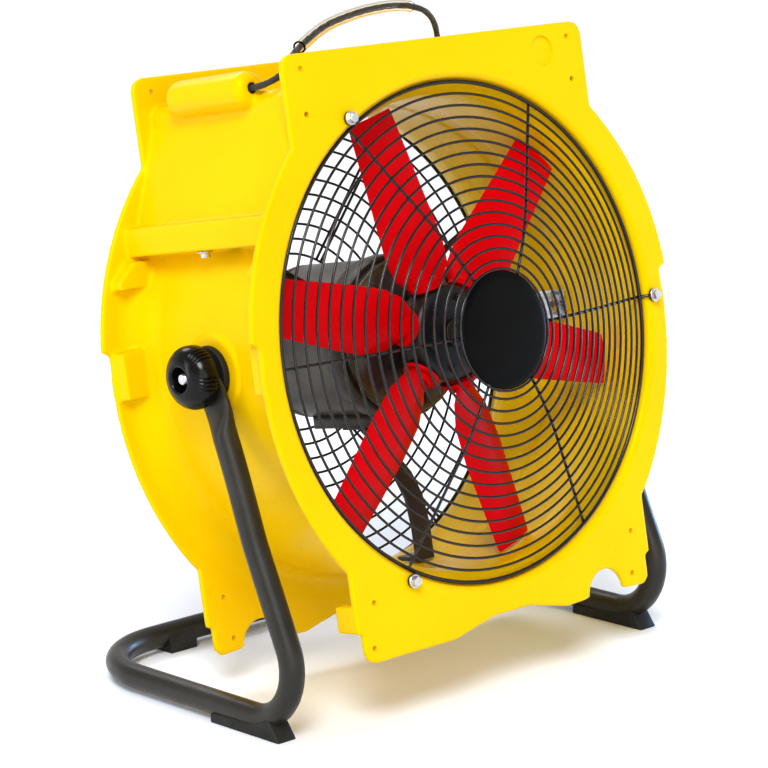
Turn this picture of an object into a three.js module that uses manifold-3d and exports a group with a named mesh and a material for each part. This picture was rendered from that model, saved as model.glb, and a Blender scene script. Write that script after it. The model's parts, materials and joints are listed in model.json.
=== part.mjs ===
// An air mover: an axial fan in a moulded square-and-round housing, hung on two
// pivots in a bent-tube stand. Millimetres, +Z up, the fan blows towards -Y.
// The origin is on the floor, under the middle of the whole object.
//
// Two frames are used. The stand is built upright. Everything that tilts is built
// in the housing's own frame, whose origin is the middle of the front guard's rim,
// with Y along the fan's axis, and is leaned back by TILT.

import * as THREE from 'three';
import { mergeVertices } from 'three/addons/utils/BufferGeometryUtils.js';
import Module from 'manifold-3d';

const wasm = await Module();
wasm.setup();

// ---------------------------------------------------------------- driving sizes

const TILT = THREE.MathUtils.degToRad(9.575); // rest lean of the housing
const AXIS_HEIGHT = 362.5; // fan axis above the floor, at the guard's rim
const CENTRE_Y = 140.2; // from the guard's rim back to the middle of the object

const FRONT = -5.2; // housing frame: faces of the two flanges
const REAR = 229.1;
const MIDDLE = (FRONT + REAR) / 2; // the housing is the same turned half round
const FLANGE = 7; // flange thickness
const BARREL = 243; // radii of the duct, outside and inside
const DUCT = 235;
const MOUTH = 251.5; // radius of the recess that holds each guard
const WALL = 4; // wall of the hollow top
const ROLL = 18.5; // the rolls along its edges: radius, axis and front end
const ROLL_X = 186;
const ROLL_Z = 265.5;
const ROLL_FRONT = 62; // of the left roll; the right one is turned round
const ROLL_REAR = 179.4;
const FIT = 0.3; // gap between pieces that touch

const GUARD = 248; // radius of a guard's outer ring
const WIRE = 1.5; // radius of a guard wire
const RING_STEP = 37.5; // spacing of the front guard's rings
const REAR_RING_STEP = 38.7;
const BADGE = 58.5;
const BOLT_CIRCLE = 260; // guard bolts

const BLADES = 6;
const FIRST_BLADE = 45; // degrees up from +X, seen from the front
const TIP = 231; // impeller radius
const IMPELLER_Y = 43; // plane of the blades
const HUB = 49;

const MOTOR = 80; // motor radius
const MOTOR_FRONT = 100;
const MOTOR_REAR = 244;
const MOTOR_SIDES = 24;
const STACK_FRONT = 150; // the laminated core
const STACK_REAR = 192;

const TUBE = 12.5; // stand tube radius and wall
const TUBE_WALL = 1.8;
const ARM_X = 258.2; // planes of the two arms
const RAIL_Z = 17; // centre of the floor rails
const ARM_LEAN = THREE.MathUtils.degToRad(24.73); // arms lean back by this
const FRONT_BEND = 55; // centre-line radii of the bends
const REAR_BEND = 96;
const REAR_BAR_Y = 322; // behind the guard's rim
const PIVOT_BOLT = 6; // radius of the pivot bolts
const KNOB_BASE = 262; // plane of a knob's inner face
const KNOB_RIM = 287;

const ROCKER_TILT = 8; // degrees the switch rocker rests to one side

const ROPE_RADIUS = 3.4; // the carrying rope, and the hose round it
const HOSE_RADIUS = 6.5;

const ROUND = 36; // segments round the duct
const SMALL = 12; // segments round small pieces
const GUARD_SEGMENTS = 20; // sides of a guard ring
const HOLE = 6; // sides of a small hole

// ---------------------------------------------------------------- materials

function finish(color, roughness, metalness = 0) {
  return new THREE.MeshStandardMaterial({ color, roughness, metalness });
}

const YELLOW = finish(0xffe300, 0.35);
const RED = finish(0xd8000e, 0.4);
const BLACK_WIRE = finish(0x0c0c0e, 0.3, 0.2);
const BLACK_PLASTIC = finish(0x17171a, 0.45);
const SOFT_BLACK = finish(0x26262a, 0.8);
const STAND_PAINT = finish(0x3a3834, 0.5, 0.3);
const MOTOR_PAINT = finish(0x2a2b2e, 0.45, 0.3);
const STEEL = finish(0xb9bcc0, 0.35, 0.9);
const COPPER = finish(0xa8622d, 0.4, 0.8);
const ROPE = finish(0x141416, 0.9);
const CLEAR = finish(0xc9b79a, 0.15);

// ---------------------------------------------------------------- making solids

// A manifold solid from a closed three.js geometry, whichever way it faces.
function solid(geometry) {
  const plain = geometry.clone();
  plain.deleteAttribute('normal');
  plain.deleteAttribute('uv');
  const merged = mergeVertices(plain, 1e-4);
  const place = merged.getAttribute('position');
  const triangles = [];
  const a = new THREE.Vector3();
  const b = new THREE.Vector3();
  const c = new THREE.Vector3();
  let volume = 0;
  for (let i = 0; i < merged.index.count; i += 3) {
    const [p, q, r] = [0, 1, 2].map((k) => merged.index.getX(i + k));
    if (p === q || q === r || r === p) continue;
    triangles.push([p, q, r]);
    a.fromBufferAttribute(place, p);
    b.fromBufferAttribute(place, q);
    c.fromBufferAttribute(place, r);
    volume += a.dot(b.cross(c));
  }
  if (volume < 0) triangles.forEach((t) => t.reverse());
  return new wasm.Manifold(new wasm.Mesh({
    numProp: 3,
    vertProperties: new Float32Array(place.array),
    triVerts: new Uint32Array(triangles.flat()),
  }));
}

function joined(...pieces) {
  return pieces.reduce((whole, piece) => whole.add(piece));
}

function cut(body, ...tools) {
  return tools.reduce((left, tool) => left.subtract(tool), body);
}

// Turned about +Y, from [radius, y] points: a closed outline, or one that starts
// and ends on the axis.
function turned(outline, segments = ROUND, phase = 0) {
  const points = outline.map(([radius, y]) => new THREE.Vector2(radius, y));
  if (outline[0][0] > 0) points.push(points[0].clone());
  const geometry = new THREE.LatheGeometry(points, segments);
  return solid(geometry.rotateY(phase));
}

// Turned about the X axis: [radius, x] points, mirrored to the left by side = -1.
function turnedX(outline, side, segments = SMALL) {
  const points = outline.map(([radius, x]) => new THREE.Vector2(radius, side * x));
  if (outline[0][0] > 0) points.push(points[0].clone());
  return solid(new THREE.LatheGeometry(points, segments).rotateZ(-Math.PI / 2));
}

// A sheet standing across Y, from an outline of [x, z] points.
function sheet(outline, y0, y1, holes = []) {
  const shape = new THREE.Shape(outline.map(([x, z]) => new THREE.Vector2(x, z)));
  holes.forEach((hole) => shape.holes.push(hole));
  const geometry = new THREE.ExtrudeGeometry(shape, { depth: y1 - y0, bevelEnabled: false });
  return solid(geometry.rotateX(Math.PI / 2).translate(0, y1, 0));
}

// A block across X, from an outline of [y, z] points.
function slab(outline, x0, x1) {
  const shape = new THREE.Shape(outline.map(([y, z]) => new THREE.Vector2(y, z)));
  const geometry = new THREE.ExtrudeGeometry(shape, { depth: x1 - x0, bevelEnabled: false });
  const toYZ = new THREE.Matrix4().set(0, 0, 1, x0, 1, 0, 0, 0, 0, 1, 0, 0, 0, 0, 0, 1);
  return solid(geometry.applyMatrix4(toYZ));
}

function box([x0, x1], [y0, y1], [z0, z1]) {
  const geometry = new THREE.BoxGeometry(x1 - x0, y1 - y0, z1 - z0);
  return solid(geometry.translate((x0 + x1) / 2, (y0 + y1) / 2, (z0 + z1) / 2));
}

// A straight round bar between two points.
function bar(from, to, radius, sides = SMALL) {
  const start = new THREE.Vector3(...from);
  const along = new THREE.Vector3(...to).sub(start);
  const geometry = new THREE.CylinderGeometry(radius, radius, along.length(), sides);
  geometry.translate(0, along.length() / 2, 0);
  const up = new THREE.Vector3(0, 1, 0);
  geometry.applyQuaternion(new THREE.Quaternion().setFromUnitVectors(up, along.normalize()));
  return solid(geometry.translate(...from));
}

// A skin over a row of sections with the same number of points, closed at both ends.
function loft(sections) {
  const count = sections[0].length;
  const index = [];
  for (let s = 0; s + 1 < sections.length; s += 1) {
    for (let i = 0; i < count; i += 1) {
      const j = (i + 1) % count;
      const [a, b] = [s * count + i, s * count + j];
      index.push(a, b, a + count, b, b + count, a + count);
    }
  }
  const last = (sections.length - 1) * count;
  for (let i = 1; i + 1 < count; i += 1) {
    index.push(0, i + 1, i, last, last + i, last + i + 1);
  }
  const geometry = new THREE.BufferGeometry();
  const numbers = sections.flat().flatMap((p) => [p.x, p.y, p.z]);
  geometry.setAttribute('position', new THREE.Float32BufferAttribute(numbers, 3));
  geometry.setIndex(index);
  return solid(geometry);
}

// A wire through a row of points, square in section.
function wire(points, radius, sides = 4) {
  const path = points.map((p) => new THREE.Vector3(...p));
  const sections = path.map((p, i) => {
    const ahead = path[Math.min(i + 1, path.length - 1)];
    const behind = path[Math.max(i - 1, 0)];
    const along = ahead.clone().sub(behind).normalize();
    const round = new THREE.Vector3(-along.z, 0, along.x);
    if (round.length() < 0.1) round.set(1, 0, 0);
    round.normalize();
    const out = along.clone().cross(round);
    return angles(sides, 45).map((t) => p.clone()
      .addScaledVector(round, radius * Math.cos(t))
      .addScaledVector(out, radius * Math.sin(t)));
  });
  return loft(sections);
}

// Evenly spaced angles round a circle, in radians.
function angles(count, firstDegrees = 0) {
  const first = THREE.MathUtils.degToRad(firstDegrees);
  return Array.from({ length: count }, (_, i) => first + (2 * Math.PI * i) / count);
}

// Points of an arc in the plane, by degrees.
function arc(cx, cz, radius, from, to, steps) {
  return Array.from({ length: steps + 1 }, (_, i) => {
    const t = THREE.MathUtils.degToRad(from + ((to - from) * i) / steps);
    return [cx + radius * Math.cos(t), cz + radius * Math.sin(t)];
  });
}

function mirrored(outline) {
  return outline.map(([x, z]) => [-x, z]).reverse();
}

// Turned half round the upright line through the housing's middle.
function turnedRound(piece) {
  return piece.rotate([0, 0, 180]).translate([0, 2 * MIDDLE, 0]);
}

// ---------------------------------------------------------------- assembly

const airMover = new THREE.Group();
const upright = new THREE.Group();
upright.position.set(0, -CENTRE_Y, 0);
airMover.add(upright);
const leaning = new THREE.Group();
leaning.position.set(0, -CENTRE_Y, AXIS_HEIGHT);
leaning.rotation.x = -TILT;
airMover.add(leaning);

function add(group, name, piece, material) {
  const data = piece.getMesh();
  const geometry = new THREE.BufferGeometry();
  geometry.setAttribute('position', new THREE.BufferAttribute(data.vertProperties, 3));
  geometry.setIndex(new THREE.BufferAttribute(data.triVerts, 1));
  geometry.computeVertexNormals();
  const mesh = new THREE.Mesh(geometry, material);
  mesh.name = name;
  group.add(mesh);
}

const SIDES = [['left', -1], ['right', 1]];

// The pivot in the stand's upright frame.
const pivotY = MIDDLE * Math.cos(TILT);
const pivotZ = AXIS_HEIGHT - MIDDLE * Math.sin(TILT);

// ---------------------------------------------------------------- stand

// Sections of the bent tube, from the top of the left arm round to the right one.
function standSections(radius, sides = 10) {
  const down = new THREE.Vector3(0, -Math.sin(ARM_LEAN), -Math.cos(ARM_LEAN));
  const across = new THREE.Vector3(1, 0, 0);
  const turn = Math.PI / 2 + ARM_LEAN;
  const armLength = (pivotZ - RAIL_Z) / Math.cos(ARM_LEAN);
  const toBend = armLength - FRONT_BEND * Math.tan(turn / 2);
  const stations = [];
  const place = new THREE.Vector3(0, pivotY, pivotZ);
  const flatX = -(KNOB_BASE - 6.2);
  // Flattened end, then the swell to the full tube: distance, how flat, x.
  const neck = [[14, 1, flatX], [31, 1, flatX], [40, 0.7, flatX - 0.6],
    [50, 0.3, -ARM_X + 0.6], [62, 0, -ARM_X]];
  neck.forEach(([s, flat, x]) => {
    const centre = place.clone().addScaledVector(down, s).setX(x);
    stations.push([centre, down, across, flat]);
  });
  const bendStart = place.clone().addScaledVector(down, toBend).setX(-ARM_X);
  const bendCentre = bendStart.clone().add(down.clone().cross(across).multiplyScalar(-FRONT_BEND));
  const steps = 6;
  for (let i = 0; i <= steps; i += 1) {
    const spin = new THREE.Quaternion().setFromAxisAngle(across, (turn * i) / steps);
    const centre = bendStart.clone().sub(bendCentre).applyQuaternion(spin).add(bendCentre);
    stations.push([centre, down.clone().applyQuaternion(spin), across, 0]);
  }
  const corner = new THREE.Vector3(-ARM_X + REAR_BEND, REAR_BAR_Y - REAR_BEND, RAIL_Z);
  const cornerSteps = 5;
  for (let i = 0; i <= cornerSteps; i += 1) {
    const t = (Math.PI / 2) * (i / cornerSteps);
    const out = new THREE.Vector3(-Math.cos(t), Math.sin(t), 0);
    const along = new THREE.Vector3(Math.sin(t), Math.cos(t), 0);
    const inward = new THREE.Vector3(Math.cos(t), -Math.sin(t), 0);
    stations.push([corner.clone().addScaledVector(out, REAR_BEND), along, inward, 0]);
  }
  const half = stations.map(([centre, along, side, flat]) => {
    const other = along.clone().cross(side);
    return angles(sides).map((t) => {
      const wide = radius + flat * 6;
      const thin = radius + flat * (3.2 - radius);
      const [c, s] = [Math.cos(t), Math.sin(t)];
      const u = wide * Math.sign(c) * Math.abs(c) ** (1 - 0.4 * flat);
      const v = thin * Math.sign(s) * Math.abs(s) ** (1 - 0.65 * flat);
      return centre.clone().addScaledVector(other, u).addScaledVector(side, v);
    });
  });
  const otherHalf = half.map((section) => section.map((p) => new THREE.Vector3(-p.x, p.y, p.z)));
  return [...half, ...otherHalf.reverse()];
}

function pivotHole(radius, side) {
  const ends = [200, 300].map((x) => [side * x, pivotY, pivotZ]);
  return bar(ends[0], ends[1], radius);
}

function makeStand() {
  let tube = loft(standSections(TUBE));
  SIDES.forEach(([, side]) => {
    const flat = turnedX([[0, KNOB_BASE - 9.4], [18.5, KNOB_BASE - 9.4],
      [18.5, KNOB_BASE - 3], [0, KNOB_BASE - 3]], side, 20);
    const end = flat.translate([0, pivotY, pivotZ]);
    tube = cut(tube.add(end), pivotHole(PIVOT_BOLT + 0.5, side));
  });
  // The tube is hollow below its flattened ends, with a drain hole under the rear bar.
  const round = standSections(TUBE - TUBE_WALL, 8).slice(5, -5);
  const drain = bar([0, REAR_BAR_Y, RAIL_Z - TUBE - 1], [0, REAR_BAR_Y, RAIL_Z], 3, HOLE);
  tube = cut(tube, loft(round), drain);
  add(upright, 'stand_tube', tube, STAND_PAINT);

  const saddle = loft(standSections(TUBE + FIT));
  SIDES.forEach(([name, side]) => {
    const profile = [[0, 0], [101, 0], [101, 9], [96, 10.5], [58, 13], [34, 19], [24, 25], [16, 24]];
    const foot = slab(profile, side * ARM_X - 12, side * ARM_X + 12);
    add(upright, `front_foot_${name}`, cut(foot, saddle), SOFT_BLACK);
  });
  SIDES.forEach(([name, side]) => {
    const low = REAR_BAR_Y - 16;
    const high = REAR_BAR_Y + 16;
    const profile = [[low, 0], [high, 0], [high, 14], [high - 4, 21], [low + 4, 21], [low, 14]];
    const clip = slab(profile, side * 132 - 18, side * 132 + 18);
    add(upright, `rear_foot_${name}`, cut(clip, saddle), SOFT_BLACK);
  });
}

// ---------------------------------------------------------------- housing

// Outline of the front flange, seen from the front, [x, z].
function flangeOutline(notched) {
  const corner = (x, z, radius, from) => arc(x, z, radius, from, from + 90, 4);
  const side = [
    ...corner(190.5, 278.5, 14, 0).reverse(),
    [204.5, 204.2],
    ...arc(0, 0, 289, 44.9, 5.9, 5),
    [278.5, 26],
    ...arc(-26.8, -6.3, 305.8, 5, -38.2, 6),
    [206.5, -203],
    [206.5, -262],
    [200.5, -264],
  ];
  const foot = notched
    ? [[200.5, -286], [192.5, -294], ...arc(137, -293, 26, -2.2, -177.8, 8).map(([x, z]) => [x, -586 - z]),
      [80, -294]]
    : [[200.5, -280], [196.4, -289.9], [186.5, -294], [82, -294]];
  return [...side, ...foot];
}

function makeFlange() {
  const right = flangeOutline(true);
  const left = mirrored(flangeOutline(false));
  const outline = [...right, [27, -282], [-27, -282], ...left];
  let flange = sheet(outline, FRONT, FRONT + FLANGE);
  const rows = [277.7, 234.3, -235.75];
  const holes = rows.flatMap((z) => [[-182, z], [182, z]]);
  holes.push([-189, -279], [176, -279]);
  holes.forEach(([x, z]) => {
    flange = cut(flange, bar([x, FRONT - 1, z], [x, FRONT + FLANGE + 1, z], 2.8, HOLE));
  });
  const dimple = bar([144, FRONT - 1, 266], [144, FRONT + 1.5, 266], 16, 16);
  return cut(flange, dimple);
}

// Cross-section of the moulded top, [x, z], with its outside pulled in by inset.
function topOutline(inset) {
  const right = [
    [178, 262 - inset],
    [187 - inset, 254],
    [187 - inset, 240],
    [223 - inset, 147 - 0.4 * inset],
    [240 - inset, 146 - inset],
    [240 - inset, 118 + inset],
    [150, 118 + inset],
  ];
  return [...right, ...mirrored(right)];
}

// The roll along each top edge, which holds an end of the rope.
function roll(side, radius, inset) {
  const ends = [ROLL_FRONT + inset, ROLL_REAR - inset].map((y) => (side < 0 ? y : 2 * MIDDLE - y));
  return bar(...ends.map((y) => [side * ROLL_X, y, ROLL_Z]), radius, SMALL);
}

function makeHousing() {
  const back = FRONT + FLANGE - 1;
  const barrel = turned([[200, back], [272, back], [251, back + 12],
    [BARREL, back + 32], [BARREL, MIDDLE + 0.1], [200, MIDDLE + 0.1]]);
  const bore = turned([[0, FRONT - 1], [257, FRONT - 1], [MOUTH, FRONT + 4],
    [MOUTH, FRONT + 11], [238, FRONT + 26], [DUCT, FRONT + 44], [DUCT, MIDDLE + 1], [0, MIDDLE + 1]]);
  const lug = box([189, 206], [back, 26], [-262, -236]);
  const gussets = [[[204, 88], [266, 88], [266, 96], [246, 114], [204, 114]],
    [[230, -20], [276, -20], [276, 27], [250, 29], [230, 29]]];
  const cheeks = gussets.flatMap((outline) => [outline, mirrored(outline)])
    .map((outline) => sheet(outline, back, back + 16));
  const half = joined(makeFlange(), barrel, lug, lug.mirror([1, 0, 0]), ...cheeks);

  const blank = turned([[0, 0], [DUCT + 2, 0], [DUCT + 2, 230], [0, 230]]);
  const top = cut(sheet(topOutline(0), back, 2 * MIDDLE - back), blank);
  const duct = turned([[0, 0], [BARREL, 0], [BARREL, 230], [0, 230]]);
  const deep = FRONT + FLANGE + 12;
  const hollow = cut(sheet(topOutline(WALL), deep, 2 * MIDDLE - deep), duct);
  const bosses = SIDES.map(([, side]) => bar([side * 225, MIDDLE, 0], [side * 245, MIDDLE, 0], 38, 20));
  const rolls = SIDES.map(([, side]) => roll(side, ROLL, 0));
  const cores = SIDES.map(([, side]) => roll(side, ROLL - WALL, WALL));

  const trims = [];
  SIDES.forEach(([, side]) => {
    // An opening under the ledge into the hollow, the pivot hole and the ledge bolt's hole.
    trims.push(box(side > 0 ? [214, 226] : [-226, -214], [78, 98], [114, 124]));
    trims.push(bar([side * 200, MIDDLE, 0], [side * 250, MIDDLE, 0], PIVOT_BOLT + 0.5));
    trims.push(bar([side * 232, MIDDLE, 114], [side * 232, MIDDLE, 130], 2.8, HOLE));
    // The rope's hole: at the front of the left roll and at the back of the right one.
    const end = side < 0 ? ROLL_FRONT : 2 * MIDDLE - ROLL_FRONT;
    trims.push(bar([side * ROLL_X, end - 5, ROLL_Z + 1], [side * ROLL_X, end + 5, ROLL_Z + 1], 5, 12));
  });
  angles(3).forEach((t) => {
    const [x, z] = [BOLT_CIRCLE * Math.cos(t), BOLT_CIRCLE * Math.sin(t)];
    const hole = bar([x, FRONT - 1, z], [x, FRONT + 14.3, z], 3.6, HOLE);
    trims.push(hole, turnedRound(hole));
  });
  const body = joined(half, turnedRound(half), top, ...bosses, ...rolls);
  add(leaning, 'housing', cut(body, hollow, ...cores, bore, turnedRound(bore), ...trims), YELLOW);
}

// ---------------------------------------------------------------- guards

// Each guard is a shallow cone that flattens towards its middle. These give the
// place of its wires along Y, by ring radius.
function dome(radius) {
  const inward = GUARD - radius;
  return 1.7 - 0.303 * inward + 0.0015 * Math.max(0, inward - 108) ** 2;
}

function rearDome(radius) {
  return 2 * MIDDLE - 1.7 + 0.305 * (GUARD - radius);
}

// A ring of three-sided wire, with its edge towards the spokes behind it.
function ring(radius, y, outward) {
  const edge = y + 0.7 * outward;
  const outline = [[radius - WIRE, edge], [radius + WIRE, edge], [radius, y - 2 * outward]];
  return turned(outline, GUARD_SEGMENTS, Math.PI / GUARD_SEGMENTS);
}

function makeGuard(name, rings, height, face, outward) {
  let guard = rings.map((radius) => ring(radius, height(radius), outward)).reduce((a, b) => a.add(b));
  angles(6).forEach((t, i) => {
    const at = (radius, y) => [radius * Math.cos(t), y, radius * Math.sin(t)];
    const inner = rings[rings.length - 1] - 2;
    const radii = [0, 0.25, 0.5, 0.75, 1].map((u) => inner + (GUARD - inner) * u);
    const spoke = radii.map((radius) => at(radius, height(radius) - 2.3 * outward));
    if (i % 2 === 0) {
      spoke.push(at(GUARD + 4, face + 1.9 * outward));
      spoke.push(at(BOLT_CIRCLE - 3.5, face + 1.9 * outward));
    }
    guard = guard.add(wire(spoke, WIRE));
    if (i % 2 === 0) {
      const eye = new THREE.TorusGeometry(5.2, WIRE, 4, 8);
      const [x, , z] = at(BOLT_CIRCLE, 0);
      guard = guard.add(solid(eye.rotateX(Math.PI / 2).translate(x, face + 1.9 * outward, z)));
    }
  });
  add(leaning, name, guard, BLACK_WIRE);
}

function makeGuardBolts() {
  const heads = [['front', FRONT, -1], ['rear', REAR, 1]];
  heads.forEach(([end, face, outward]) => {
    angles(3).forEach((t, i) => {
      const turn = outward < 0 ? t : Math.PI - t;
      const at = (y) => [BOLT_CIRCLE * Math.cos(turn), face + y * outward, BOLT_CIRCLE * Math.sin(turn)];
      const bolt = joined(bar(at(3.7), at(5.2), 7, 10), bar(at(5), at(10), 5, 6), bar(at(4), at(-12), 3, 6));
      add(leaning, `guard_bolt_${end}_${i + 1}`, bolt, STEEL);
    });
  });
}

function makeGuards() {
  const frontRings = [];
  for (let radius = GUARD; radius > BADGE + 4; radius -= RING_STEP) frontRings.push(radius);
  frontRings.push(BADGE + 2.2);
  makeGuard('front_guard', frontRings, dome, FRONT, -1);
  const rearRings = [];
  for (let radius = GUARD; radius > 90; radius -= REAR_RING_STEP) rearRings.push(radius);
  makeGuard('rear_guard', rearRings, rearDome, REAR, 1);
  const y = dome(BADGE);
  const badge = turned([[0, y - 2.4], [40, y - 2], [BADGE - 1.5, y - 1], [BADGE, y + 0.5], [BADGE, y + 1.5],
    [0, y + 1.5]], 24);
  add(leaning, 'guard_badge', badge, BLACK_PLASTIC);
  makeGuardBolts();
}

// ---------------------------------------------------------------- impeller

// Blade sections from root to tip: radius, chord, pitch in degrees, thickness.
const BLADE_SECTIONS = [
  [52, 34, 36, 9],
  [66, 58, 24, 5],
  [90, 68, 15, 4],
  [130, 66, 10, 3.4],
  [180, 60, 8.5, 3],
  [TIP, 54, 8, 2.6],
];

function makeBlade() {
  const sections = BLADE_SECTIONS.map(([radius, chord, pitch, thick]) => {
    const lean = THREE.MathUtils.degToRad(pitch);
    const around = [[-0.5, 0], [-0.2, 0.5], [0.2, 0.45], [0.5, 0], [0.2, -0.45], [-0.2, -0.5]];
    return around.map(([u, v]) => {
      const camber = -chord * 0.06 * (1 - 4 * u * u);
      const [a, b] = [u * chord, v * thick + camber];
      const side = a * Math.cos(lean) - b * Math.sin(lean);
      const deep = a * Math.sin(lean) + b * Math.cos(lean);
      return new THREE.Vector3(radius, IMPELLER_Y + deep, side);
    });
  });
  const root = bar([27, IMPELLER_Y, 0], [60, IMPELLER_Y, 0], 13, 8);
  const collar = bar([50, IMPELLER_Y, 0], [54, IMPELLER_Y, 0], 19);
  return joined(loft(sections), root, collar);
}

function makeImpeller() {
  const blade = makeBlade();
  angles(BLADES, FIRST_BLADE).forEach((t, i) => {
    add(leaning, `blade_${i + 1}`, blade.rotate([0, -THREE.MathUtils.radToDeg(t), 0]), RED);
  });
  const socket = joined(bar([20, IMPELLER_Y, 0], [49.6, IMPELLER_Y, 0], 13.4, 8),
    bar([49.6, IMPELLER_Y, 0], [60, IMPELLER_Y, 0], 19.4));
  const sockets = angles(BLADES, FIRST_BLADE).map((t) => socket.rotate([0, -THREE.MathUtils.radToDeg(t), 0]));
  const split = IMPELLER_Y;
  const front = turned([[8.3, split - 17], [30, split - 19], [HUB - 5, split - 17], [HUB, split - 12],
    [HUB, split - 0.2], [8.3, split - 0.2]], 24);
  const back = turned([[8.3, split + 0.2], [HUB, split + 0.2], [HUB, split + 12], [HUB - 5, split + 17],
    [22, split + 20], [8.3, split + 20]], 24);
  add(leaning, 'hub_front', cut(front, ...sockets), BLACK_PLASTIC);
  add(leaning, 'hub_rear', cut(back, ...sockets), BLACK_PLASTIC);
  const washerY = split - 19;
  const washer = [[0, washerY - 2.6], [14, washerY - 2.6], [14, washerY - 0.3], [0, washerY - 0.3]];
  const nut = bar([0, washerY - 10, 0], [0, washerY - 2.4, 0], 9, 6);
  const shank = bar([0, washerY - 3, 0], [0, washerY + 5, 0], 3.5, 8);
  add(leaning, 'hub_screw', joined(turned(washer, 16), nut, shank), STEEL);
}

// ---------------------------------------------------------------- motor

function makeMotor() {
  const shell = turned([[MOTOR - 4, MOTOR_FRONT], [MOTOR, MOTOR_FRONT], [MOTOR, MOTOR_REAR],
    [MOTOR - 4, MOTOR_REAR]], MOTOR_SIDES);
  add(leaning, 'motor_shell', shell, MOTOR_PAINT);
  const cover = (at, out) => turned([
    [17.3, at + 0.3 * out], [MOTOR - 1, at + 0.3 * out], [MOTOR - 1, at + 5 * out],
    [MOTOR - 8, at + 13 * out], [26, at + 20 * out], [10, at + 20 * out], [10, at + 12 * out],
    [17.3, at + 12 * out],
  ], MOTOR_SIDES);
  add(leaning, 'motor_front_cover', cover(MOTOR_FRONT, -1), MOTOR_PAINT);
  add(leaning, 'motor_rear_cover', cover(MOTOR_REAR, 1), MOTOR_PAINT);
  const core = [
    [50.3, STACK_FRONT], [MOTOR - 4.3, STACK_FRONT], [MOTOR - 4.3, STACK_REAR], [50.3, STACK_REAR],
  ];
  add(leaning, 'stator_core', turned(core, MOTOR_SIDES), STEEL);
  const winding = [
    [46, STACK_FRONT - 14], [64, STACK_FRONT - 14], [64, STACK_FRONT - 0.3], [50, STACK_FRONT - 0.3],
    [50, STACK_REAR + 0.3], [64, STACK_REAR + 0.3], [64, STACK_REAR + 14], [46, STACK_REAR + 14],
  ];
  add(leaning, 'stator_winding', turned(winding, MOTOR_SIDES), COPPER);
  const rotor = joined(
    turned([[0, STACK_FRONT], [44.5, STACK_FRONT], [44.5, STACK_REAR], [0, STACK_REAR]], MOTOR_SIDES),
    bar([0, 60, 0], [0, MOTOR_REAR + 18, 0], 8),
  );
  const bore = bar([0, 20, 0], [0, 74, 0], 4.3, HOLE);
  const nose = bar([0, 24.5, 0], [0, 64, 0], 8);
  add(leaning, 'motor_rotor', cut(joined(rotor, nose), bore), STEEL);
  const bearing = (at) => turned([[8.3, at], [17, at], [17, at + 11], [8.3, at + 11]], 16);
  add(leaning, 'bearing_front', bearing(MOTOR_FRONT - 11.7), STEEL);
  add(leaning, 'bearing_rear', bearing(MOTOR_REAR + 0.7), STEEL);
}

// ---------------------------------------------------------------- motor mounts

function makeMotorMounts() {
  const band = [[MOTOR + FIT, 104], [MOTOR + 4.5, 104], [MOTOR + 4.5, 130], [MOTOR + FIT, 130]];
  add(leaning, 'motor_clamp_band', turned(band, MOTOR_SIDES), BLACK_PLASTIC);
  const cradle = cut(
    joined(box([-24, 24], [131, 230], [-90, -86]), box([-24, -20], [131, 230], [-90, -75]),
      box([20, 24], [131, 230], [-90, -75])),
    turned([[0, 90], [MOTOR + FIT, 90], [MOTOR + FIT, 250], [0, 250]], MOTOR_SIDES),
  );
  add(leaning, 'motor_cradle', cradle, BLACK_PLASTIC);
  const strip = [
    [208, -90.4], [174, -90.4], [172, -98], [162, -116], [136, -143], [124, -166], [119, -196],
    [119, -232.5], [150, -232.5], [150, -228], [123.5, -228], [123.5, -197], [128, -168],
    [139, -147], [166, -119], [178, -95], [208, -95],
  ];
  const rib = [
    [172, -98], [162, -116], [136, -143], [124, -166], [119, -196], [119, -229], [134, -229],
    [134, -197], [139, -171], [149, -153], [175, -126], [184, -94], [174, -94],
  ];
  const leg = joined(slab(strip, -5, 18), slab(rib, 14, 18));
  add(leaning, 'motor_leg', leg, BLACK_PLASTIC);
  SIDES.forEach(([name, side]) => {
    const strut = joined(
      box([MOTOR + 5, MOTOR + 9], [MIDDLE - 13, MIDDLE + 13], [-17, 17]),
      box([MOTOR + 8, 229], [MIDDLE - 13, MIDDLE + 13], [-2.5, 2.5]),
      box([228, 231.5], [MIDDLE - 13, MIDDLE + 13], [-17, 17]),
    );
    add(leaning, `motor_strut_${name}`, strut.rotate([0, side > 0 ? -30 : -150, 0]), BLACK_PLASTIC);
  });
}

function makeTerminalBox() {
  const clear = turned([[0, 90], [MOTOR + 0.4, 90], [MOTOR + 0.4, 250], [0, 250]], MOTOR_SIDES);
  const shell = cut(box([60, 108], [142, 208], [-34, 30]), box([60, 109], [145, 205], [-31, 27]));
  const lid = box([108.3, 112], [141, 209], [-35, 31]);
  const outlet = bar([94, 160, 25], [94, 160, 42], 8, 10);
  const outletHole = bar([94, 160, 20], [94, 160, 45], 3.6, 8);
  add(leaning, 'terminal_box', cut(joined(shell, outlet), clear, outletHole), BLACK_PLASTIC);
  add(leaning, 'terminal_box_lid', lid, BLACK_PLASTIC);
  const capacitor = bar([97, 150, -16], [97, 200, -16], 9, 16);
  add(leaning, 'run_capacitor', capacitor, STEEL);
}

// ---------------------------------------------------------------- pivots and knobs

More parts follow.
